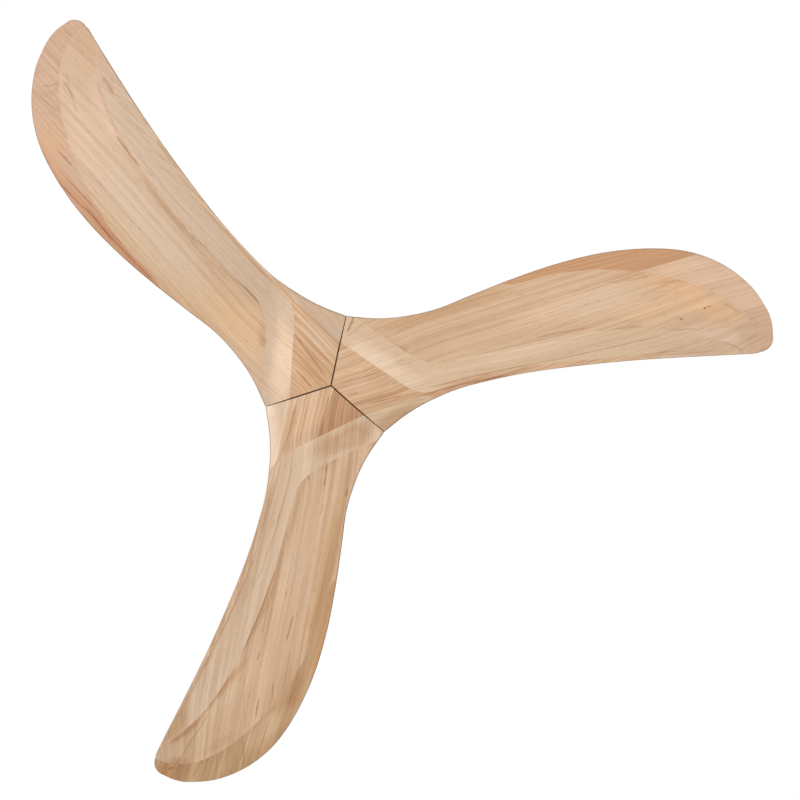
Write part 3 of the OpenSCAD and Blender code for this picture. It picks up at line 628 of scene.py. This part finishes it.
def addFigure(tree, place, colour, look):
    if "figure" not in look:
        return colour
    centre, stretch, spacing, reach, strength = look["figure"]
    figure = useGroup(tree, flatFigure, Place=place, Centre=onBlade(*centre), Stretch=stretch,
                      Spacing=spacing * mm, Reach=reach * mm)
    return stain(tree, times(tree, figure["Lines"], strength), colour, timberFinish["dark"])


def addStreaks(tree, place, colour, look):
    finish = timberFinish
    for start, end, bend, width, strength in look.get("streaks", []):
        mask = useGroup(tree, streakGroup, Place=place, From=onBlade(*start), To=onBlade(*end),
                        Width=width * mm, Bend=bend * mm)["Mask"]
        colour = stain(tree, times(tree, mask, strength), colour, finish["streak"])
    for x, y in look.get("knots", []):
        half = finish["knotHalf"]
        mask = useGroup(tree, streakGroup, Place=place, From=onBlade(x - half, y),
                        To=onBlade(x + half, y), Width=finish["knotWidth"] * mm)["Mask"]
        colour = blendColours(tree, mask, colour, finish["knot"])
    return colour


def addRings(tree, grain, colour, look):
    finish = timberFinish
    rings = ramp(tree, grain["Rings"], *finish["ringRamp"])
    dark = times(tree, rings, look["rings"] * finish["ringDepth"])
    colour = stain(tree, dark, colour, finish["dark"])
    light = ramp(tree, grain["Rings"], *finish["lightRamp"])
    pale = times(tree, light, look["rings"] * finish["lightDepth"])
    colour = stain(tree, pale, colour, finish["pale"])
    depth = finish["shadeLeast"] + finish["shadeGrow"] * look["rings"]
    shade = times(tree, ramp(tree, grain["Broad"], *finish["shadeRamp"]), depth)
    return stain(tree, shade, colour, finish["shade"])


def addFineGrain(tree, grain, colour, look):
    finish = timberFinish
    depth = finish["lineDepth"] * look.get("fine", 1.0)
    lines = times(tree, ramp(tree, grain["Lines"], *finish["lineRamp"]), depth)
    colour = stain(tree, lines, colour, finish["fibre"])
    fibre = times(tree, ramp(tree, grain["Fibre"], *finish["fibreRamp"]), finish["fibreDepth"])
    colour = stain(tree, fibre, colour, finish["fibre"])
    return stain(tree, times(tree, grain["Pores"], finish["poreDepth"]), colour, finish["pore"])


def boardTimber(blade, level):
    look = boardLooks[(blade, level)]
    finish = timberFinish
    material, tree, shader = newMaterial("timber_%d_%d" % (blade, level))
    spin = {"Vector": objectPlace(tree), "Angle": math.radians(-bladeTurn * (blade - 1))}
    place = addNode(tree, "VectorRotate", spin, rotation_type="Z_AXIS").outputs[0]
    grain = useGroup(tree, timberGrain, Place=place, Tilt=look["tilt"], Lean=finish["lean"],
                     Seed=look["seed"], Wander=look.get("wander", finish["wander"]),
                     Spacing=float(look["spacing"]))
    colour = addPatches(tree, place, look["tone"], look)
    colour = addStaves(tree, place, colour, look)
    colour = addRings(tree, grain, colour, look)
    colour = addFigure(tree, place, colour, look)
    colour = addStreaks(tree, place, colour, look)
    colour = addFineGrain(tree, grain, colour, look)
    # Painted shade: the sides of the board, whose normals lie near the horizontal, are darkened with the
    # edge tone as if turned away from the light.
    facing = parts(tree, addNode(tree, "NewGeometry").outputs["Normal"])[2]
    sidewaysShade = ramp(tree, calc(tree, "ABSOLUTE", facing), *finish["edgeShadeRamp"])
    colour = stain(tree, sidewaysShade, colour, finish["edge"])
    # Painted shade and dirt in the seam gap, on the lower boards only.
    if level <= finish["seamShadeBoards"]:
        seam = useGroup(tree, seamShadeEdge, Place=place, Shift=seamShift() * mm)["Mask"]
        colour = blendColours(tree, times(tree, seam, finish["seamShadeDepth"]), colour, finish["seam"])
    feed(tree, shader.inputs["Base Color"], colour)
    smoothest = finish["roughness"] - finish["roughRange"] / 2
    roughness = calc(tree, "MULTIPLY_ADD", grain["Rings"], finish["roughRange"], smoothest)
    feed(tree, shader.inputs["Roughness"], roughness)
    shader.inputs["Specular IOR Level"].default_value = finish["specular"]
    shader.inputs["Coat Weight"].default_value = finish["coat"]
    shader.inputs["Coat Roughness"].default_value = finish["coatRoughness"]
    relief = times(tree, grain["Fibre"], finish["fibreRise"])
    relief = calc(tree, "MULTIPLY_ADD", grain["Pores"], finish["poreDip"], relief)
    addBump(tree, shader, relief, finish["bump"], finish["bumpReach"])
    return material


# Stations from root to tip: trailing edge x, y, leading edge x, y, heights of both, middle thickness.
# Root, edge and tip steps say how finely the surface is divided.
bladeShape = {
    "hubRadius": 104.0, "blockHeight": 41.0, "blockEnd": 92, "blockFade": 75, "seamGap": 0.8, "edge": 5.0,
    "tipRadius": 20.3, "tipCentre": (623.3, 130.6), "tipStart": 105.0, "tipEnd": 8.0,
    "tipHeight": 30.5, "tipTrailing": 29.0, "tipLeading": 31.5, "tipThickness": (6.5, 5.0),
    "cup": 2.2, "rootFade": 3.0, "rootBow": 1.5, "edgeRound": 2.4, "seamEase": 0.5,
    "backFullness": 0.7, "backLeast": 0.9, "gapLeast": 0.05,
    "padNormal": (0.788, -0.615), "padEdge": 38.4, "padSlope": 0.3, "padEase": 10.0, "dishSoft": 8.0,
    "rimNormal": 1.07, "rimFadeStart": 115, "rimFade": 60, "rimSoft": 3.0,
    "rootSteps": [0.0, 0.006, 0.014, 0.03, 0.06], "stationStep": 0.1,
    "tipSteps": (0.04, 0.97, 26), "tipCrowd": 1.15,
    "edgeSteps": [0.0, 0.1, 0.35, 0.8, 1.4, 2.0, 2.6, 3.4, 4.4], "edgeChord": 150.0, "sideSteps": (0.04, 24),
    "stations": [
        [52.0, 90.07, 52.0, -90.07, 0.0, 20.0, 41.0],
        [88.0, 76.5, 92.0, -73.5, 0.0, 22.0, 30.0],
        [125.0, 67.5, 130.0, -64.0, 0.5, 25.0, 20.0],
        [172.0, 62.5, 180.0, -59.0, 1.0, 28.2, 14.0],
        [225.0, 65.0, 235.0, -62.5, 1.0, 28.7, 12.0],
        [285.0, 72.1, 300.0, -66.5, 1.5, 29.05, 11.5],
        [350.0, 84.1, 370.0, -67.4, 2.0, 29.15, 11.0],
        [415.0, 98.1, 440.0, -61.7, 3.0, 29.45, 10.5],
        [475.0, 113.0, 505.0, -47.1, 4.5, 30.0, 10.0],
        [525.0, 126.5, 559.6, -24.6, 7.5, 30.7, 9.5],
        [565.0, 137.6, 601.6, 7.9, 12.5, 31.1, 8.5],
        [592.0, 145.0, 631.5, 49.2, 19.0, 31.2, 7.5],
        [605.0, 148.6, 645.4, 90.0, 24.0, 31.4, 7.0],
        [613.0, 150.2, 647.3, 114.0, 27.5, 31.4, 6.7],
    ],
}


def smooth(t):
    t = np.clip(t, 0.0, 1.0)
    return t * t * (3 - 2 * t)


def rounding(distance, radius):
    inside = np.clip(radius - distance, 0.0, radius)
    return radius - np.sqrt(radius * radius - inside * inside)


def softMin(a, b, reach):
    low = np.minimum(a, b)
    k = np.maximum(0.001, np.minimum(reach, 2 * low))
    return low - np.maximum(k - np.abs(a - b), 0) ** 2 / (4 * k)


def softMax(a, b, reach):
    high = np.maximum(a, b)
    k = np.maximum(0.001, np.minimum(reach, 2 * high))
    return high + np.maximum(k - np.abs(a - b), 0) ** 2 / (4 * k)


def padRise(w):
    ease = bladeShape["padEase"]
    start = np.maximum(w, 0.0) ** 2 / (2 * ease)
    return bladeShape["padSlope"] * np.where(w < ease, start, w - ease / 2)


def faceHeight(q, x, y, v):
    shape = bladeShape
    profile = q[4] + (q[5] - q[4]) * (1 - (1 - v) ** shape["cup"])
    padX, padY = shape["padNormal"]
    dish = softMin(profile, padRise(padX * x + padY * y - shape["padEdge"]), shape["dishSoft"])
    fade = 1 - smooth((x - shape["rimFadeStart"]) / shape["rimFade"])
    rim = padRise(shape["rimNormal"] * y - shape["padEdge"]) * fade
    return softMax(dish, rim, shape["rimSoft"])


def tipChord(s):
    shape = bladeShape
    middle = math.radians((shape["tipStart"] + shape["tipEnd"]) / 2)
    half = math.radians((shape["tipStart"] - shape["tipEnd"]) / 2) * (1 - s)
    x, y = shape["tipCentre"]
    r = shape["tipRadius"]
    thick, thin = shape["tipThickness"]
    trailing = shape["tipTrailing"] + (shape["tipHeight"] - shape["tipTrailing"]) * (1 - (1 - s) ** 2)
    leading = shape["tipLeading"] + (shape["tipHeight"] - shape["tipLeading"]) * s
    return np.array([x + r * math.cos(middle + half), y + r * math.sin(middle + half),
                     x + r * math.cos(middle - half), y + r * math.sin(middle - half),
                     trailing, leading, thick - (thick - thin) * s])


def bladeStation(u, stations):
    last = len(stations) - 1
    i = min(int(u), last - 1)
    t = u - i
    p1, p2 = stations[i], stations[i + 1]
    p0 = stations[i - 1] if i > 0 else 2 * p1 - p2
    p3 = stations[i + 2] if i + 2 <= last else 2 * p2 - p1
    return 0.5 * (2 * p1 + (p2 - p0) * t + (2 * p0 - 5 * p1 + 4 * p2 - p3) * t * t
                  + (3 * p1 - p0 - 3 * p2 + p3) * t ** 3)


def bladeRows():
    shape = bladeShape
    stations = [np.array(row) for row in shape["stations"]] + [tipChord(0.0)]
    last = len(stations) - 1
    step = shape["stationStep"]
    mainSteps = shape["rootSteps"] + list(np.arange(step, last + step / 100, step))
    tipSteps = [1 - (1 - t) ** shape["tipCrowd"] for t in np.linspace(*shape["tipSteps"])]
    rows = [(u, bladeStation(u, stations), 0.0) for u in mainSteps]
    return rows + [(float(last), tipChord(s), s) for s in tipSteps]


def chordSteps():
    edge = np.array(bladeShape["edgeSteps"]) / bladeShape["edgeChord"]
    start, count = bladeShape["sideSteps"]
    half = np.linspace(start, 0.5, count)
    return np.concatenate([edge, half, 1 - half[-2::-1], 1 - edge[::-1]])


def bladeSurfaces(blockBottom):
    shape = bladeShape
    v = chordSteps()
    shift = seamShift()
    lower, upper = [], []
    for u, q, s in bladeRows():
        bow = max(0.0, 1 - u / shape["rootFade"]) ** shape["rootBow"] * (1 - np.abs(2 * v - 1))
        x = q[0] + (q[2] - q[0]) * v + shift - shape["hubRadius"] / 2 * bow
        y = q[1] + (q[3] - q[1]) * v
        face = faceHeight(q, x, y, v)
        body = shape["edge"] + (q[6] - shape["edge"]) * np.sin(np.pi * v) ** shape["backFullness"]
        back = face + np.maximum(shape["edge"] * shape["backLeast"], body)
        back = np.minimum(shape["blockHeight"], back)
        hub = 1 - smooth((x - shape["blockEnd"]) / shape["blockFade"])
        away = np.minimum(v, 1 - v) * math.hypot(q[2] - q[0], q[3] - q[1])
        if s > 0:
            centre = shape["tipCentre"]
            fromCentre = np.hypot(x - shift - centre[0], y - centre[1])
            away = np.minimum(away, shape["tipRadius"] - fromCentre)
        turn = rounding(np.maximum(away, 0.0), shape["edgeRound"])
        seam = (x - shift) * math.sin(seamAngle) - np.abs(y) * math.cos(seamAngle)
        ease = rounding(np.maximum(seam, 0.0), shape["seamEase"])
        low = face + np.maximum(turn, ease)
        high = back + (shape["blockHeight"] - back) * hub - turn
        lower.append(np.stack([x, y, low], -1))
        upper.append(np.stack([x, y, np.maximum(high, low + shape["gapLeast"])], -1))
    offset = np.array([0, 0, blockBottom / mm])
    return (np.array(lower) + offset) * mm, (np.array(upper) + offset) * mm


def wholeBlade(blockBottom):
    lower, upper = bladeSurfaces(blockBottom)
    rings, side = lower.shape[:2]
    points = np.concatenate([lower, upper[:, ::-1]], axis=1).reshape(-1, 3)
    size = 2 * side
    faces = []
    for i in range(rings - 1):
        for j in range(size):
            k = (j + 1) % size
            faces.append((i * size + j, i * size + k, (i + 1) * size + k, (i + 1) * size + j))
    for base in (0, (rings - 1) * size):
        for j in range(side - 1):
            faces.append((base + j, base + j + 1, base + size - 2 - j, base + size - 1 - j))
    mesh = bpy.data.meshes.new("wholeBlade")
    mesh.from_pydata([tuple(p) for p in points], [], faces)
    work = bmesh.new()
    work.from_mesh(mesh)
    bmesh.ops.recalc_face_normals(work, faces=work.faces[:])
    work.to_mesh(mesh)
    work.free()
    return mesh


boardCut = {"merge": 1e-7, "crease": math.radians(38)}


def cutBoard(whole, low, high):
    work = bmesh.new()
    work.from_mesh(whole)
    for height, below in ((low, True), (high, False)):
        if height is None:
            continue
        everything = work.verts[:] + work.edges[:] + work.faces[:]
        cut = bmesh.ops.bisect_plane(work, geom=everything, dist=boardCut["merge"],
                                     plane_co=(0, 0, height), plane_no=(0, 0, 1),
                                     clear_inner=below, clear_outer=not below)
        rim = [part for part in cut["geom_cut"] if isinstance(part, bmesh.types.BMEdge)]
        filled = bmesh.ops.holes_fill(work, edges=rim, sides=0)["faces"]
        bmesh.ops.triangulate(work, faces=filled)
    bmesh.ops.recalc_face_normals(work, faces=work.faces[:])
    for face in work.faces:
        face.smooth = True
    for edge in work.edges:
        if len(edge.link_faces) == 2 and edge.calc_face_angle(0.0) > boardCut["crease"]:
            edge.smooth = False
    mesh = bpy.data.meshes.new("board")
    work.to_mesh(mesh)
    work.free()
    return mesh


def makeBlades():
    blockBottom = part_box("blade_1_board_1")[0].z
    levels = [None] + [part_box("blade_1_board_%d" % n)[0].z for n in (2, 3, 4)] + [None]
    whole = wholeBlade(blockBottom)
    boards = [cutBoard(whole, low, high) for low, high in zip(levels, levels[1:])]
    for blade, level in timberNames:
        name = "blade_%d_board_%d" % (blade, level)
        mesh = boards[level - 1].copy()
        mesh.transform(Matrix.Rotation(math.radians(bladeTurn * (blade - 1)), 4, "Z"))
        piece = bpy.data.objects.new("timber_" + name, mesh)
        bpy.context.scene.collection.objects.link(piece)
        piece.data.materials.append(boardTimber(blade, level))
        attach(piece, "propeller")
        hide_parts(name)
    print("blades carved and glued up")


makeBlades()


partFinishes = {
    "zinc_steel": {
        "tone": (0.66, 0.67, 0.68), "metal": 1.0, "rough": 0.34, "mottle": 0.35, "scale": 90,
        "bump": 0.04,
    },
    "ground_steel": {
        "tone": (0.58, 0.59, 0.61), "metal": 1.0, "rough": 0.22, "mottle": 0.2, "scale": 140,
        "bump": 0.02,
    },
    "lamination_steel": {
        "tone": (0.24, 0.245, 0.26), "metal": 0.9, "rough": 0.5, "mottle": 0.4, "scale": 70,
        "bump": 0.05,
    },
    "cast_aluminium": {
        "tone": (0.62, 0.63, 0.64), "metal": 1.0, "rough": 0.45, "mottle": 0.5, "scale": 160,
        "bump": 0.12,
    },
    "copper": {
        "tone": (0.62, 0.24, 0.1), "metal": 0.9, "rough": 0.3, "mottle": 0.3, "scale": 120,
        "bump": 0.05,
    },
    "magnet": {
        "tone": (0.16, 0.16, 0.17), "metal": 0.2, "rough": 0.4, "mottle": 0.3, "scale": 200,
        "bump": 0.05,
    },
    "brass": {
        "tone": (0.72, 0.5, 0.2), "metal": 1.0, "rough": 0.3, "mottle": 0.3, "scale": 90, "bump": 0.03,
    },
    "black_rubber": {
        "tone": (0.022, 0.022, 0.022), "metal": 0.0, "rough": 0.78, "mottle": 0.5, "scale": 130,
        "bump": 0.1,
    },
    "white_nylon": {
        "tone": (0.78, 0.78, 0.73), "metal": 0.0, "rough": 0.5, "mottle": 0.2, "scale": 60,
        "bump": 0.04,
    },
    "grey_plastic": {
        "tone": (0.1, 0.1, 0.105), "metal": 0.0, "rough": 0.55, "mottle": 0.3, "scale": 260,
        "bump": 0.08,
    },
    "black_powder_coat": {
        "tone": (0.02, 0.021, 0.022), "metal": 0.0, "rough": 0.46, "mottle": 0.35, "scale": 700,
        "bump": 0.22,
    },
    "black_screws": {
        "tone": (0.018, 0.018, 0.019), "metal": 0.7, "rough": 0.35, "mottle": 0.3, "scale": 200,
        "bump": 0.03,
    },
}
partWear = {"wornGain": 1.35, "wornLift": 0.01, "scratch": 0.25, "roughen": 0.18, "bumpReach": 0.0004}
layerPitch = {"lamination_steel": 0.0007, "copper": 0.0011}    # metres from one sheet or turn to the next


def partFinish(name):
    look = partFinishes[name]
    material, tree, shader = newMaterial(name)
    wear = useGroup(tree, surfaceWear, Scale=float(look["scale"]), Amount=look["mottle"])
    worn = tuple(min(1.0, c * partWear["wornGain"] + partWear["wornLift"]) for c in look["tone"])
    colour = blendColours(tree, wear["Mottle"], look["tone"], worn)
    colour = blendColours(tree, times(tree, wear["Scratches"], partWear["scratch"]), colour, worn)
    feed(tree, shader.inputs["Base Color"], colour)
    roughness = calc(tree, "MULTIPLY_ADD", wear["Mottle"], partWear["roughen"], look["rough"])
    feed(tree, shader.inputs["Roughness"], roughness)
    shader.inputs["Metallic"].default_value = look["metal"]
    height = wear["Mottle"]
    if name in layerPitch:
        z = parts(tree, objectPlace(tree))[2]
        height = calc(tree, "SINE", times(tree, z, 2 * math.pi / layerPitch[name]))
    addBump(tree, shader, height, look["bump"], partWear["bumpReach"])
    return material


def finishParts():
    slots = {row["node"]: row["material_slot"] for row in frame["record"]["subparts"]}
    made = {name: partFinish(name) for name in partFinishes}
    for name, piece in cadNodes.items():
        if slots[name] in made:
            piece.data.materials.clear()
            piece.data.materials.append(made[slots[name]])
    print("motor pod finished")


finishParts()


studio = {
    "floorDrop": 2.3, "floorHalf": 45.0, "floorTone": (0.86, 0.86, 0.85), "floorGlow": 0.35,
    "floorCloud": 3.0, "floorDetail": 3.0, "floorDim": 0.98, "floorRoughness": 0.9, "ambient": 0.5,
    "cameraPlace": (0.1380, -0.0370, -1.4594), "cameraAim": (-0.0332, 0.0603, 0.9976),
    "cameraUp": (0.3083, -0.9489, 0.0676), "lens": 45.0, "sensor": 36.0, "cameraReach": 50,
    "lights": [
        {"name": "keyFromBelow", "place": (-0.9, -1.1, -2.0), "size": 1.8, "power": 33},
        {"name": "fillFromBelow", "place": (1.3, 0.9, -2.0), "size": 2.2, "power": 22},
        {"name": "topLight", "place": (0.6, -1.8, 2.2), "size": 2.4, "power": 60},
    ],
}


def aimAt(piece, place, target):
    piece.location = place
    piece.rotation_mode = "QUATERNION"
    piece.rotation_quaternion = (Vector(target) - Vector(place)).to_track_quat("-Z", "Y")


def cameraRays(tree):
    return addNode(tree, "LightPath").outputs["Is Camera Ray"]


def makeFloor():
    half = studio["floorHalf"]
    corners = [(-half, -half, 0), (half, -half, 0), (half, half, 0), (-half, half, 0)]
    floor = newMesh("floor", corners, [(0, 1, 2, 3)])
    floor.location.z = cadLow.z - studio["floorDrop"]
    material, tree, shader = newMaterial("floorPaint")
    cloud = noise(tree, objectPlace(tree), studio["floorCloud"], studio["floorDetail"])
    pale = studio["floorTone"]
    dim = tuple(c * studio["floorDim"] for c in pale)
    feed(tree, shader.inputs["Base Color"], blendColours(tree, cloud, pale, dim))
    shader.inputs["Roughness"].default_value = studio["floorRoughness"]
    shader.inputs["Emission Color"].default_value = (*pale, 1)
    glow = times(tree, cameraRays(tree), studio["floorGlow"])
    feed(tree, shader.inputs["Emission Strength"], glow)
    floor.data.materials.append(material)


def makeLights():
    world = bpy.data.worlds.new("studioWorld")
    bpy.context.scene.world = world
    world.use_nodes = True
    tree = world.node_tree
    background = tree.nodes["Background"]
    ambient = studio["ambient"]
    strength = calc(tree, "MULTIPLY_ADD", cameraRays(tree), 1 - ambient, ambient)
    feed(tree, background.inputs["Strength"], strength)
    background.inputs["Color"].default_value = (1, 1, 1, 1)
    for lamp in studio["lights"]:
        data = bpy.data.lights.new(lamp["name"], "AREA")
        data.size = lamp["size"]
        data.energy = lamp["power"]
        piece = bpy.data.objects.new(lamp["name"], data)
        bpy.context.scene.collection.objects.link(piece)
        aimAt(piece, lamp["place"], (0, 0, cadLow.z))
        piece.visible_camera = False
    bpy.context.scene.view_settings.view_transform = "Standard"


def makeCamera():
    data = bpy.data.cameras.new("camera")
    data.lens = studio["lens"]
    data.sensor_width = studio["sensor"]
    data.clip_end = studio["cameraReach"]
    camera = bpy.data.objects.new("camera", data)
    bpy.context.scene.collection.objects.link(camera)
    faceCentre = Vector((0, 0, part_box("blade_1_board_1")[0].z))
    back = -Vector(studio["cameraAim"]).normalized()
    right = Vector(studio["cameraUp"]).cross(back).normalized()
    turn = Matrix((right, back.cross(right), back)).transposed().to_4x4()
    camera.matrix_world = Matrix.Translation(faceCentre + Vector(studio["cameraPlace"])) @ turn
    bpy.context.scene.camera = camera


makeFloor()
makeLights()
makeCamera()
print("studio ready")
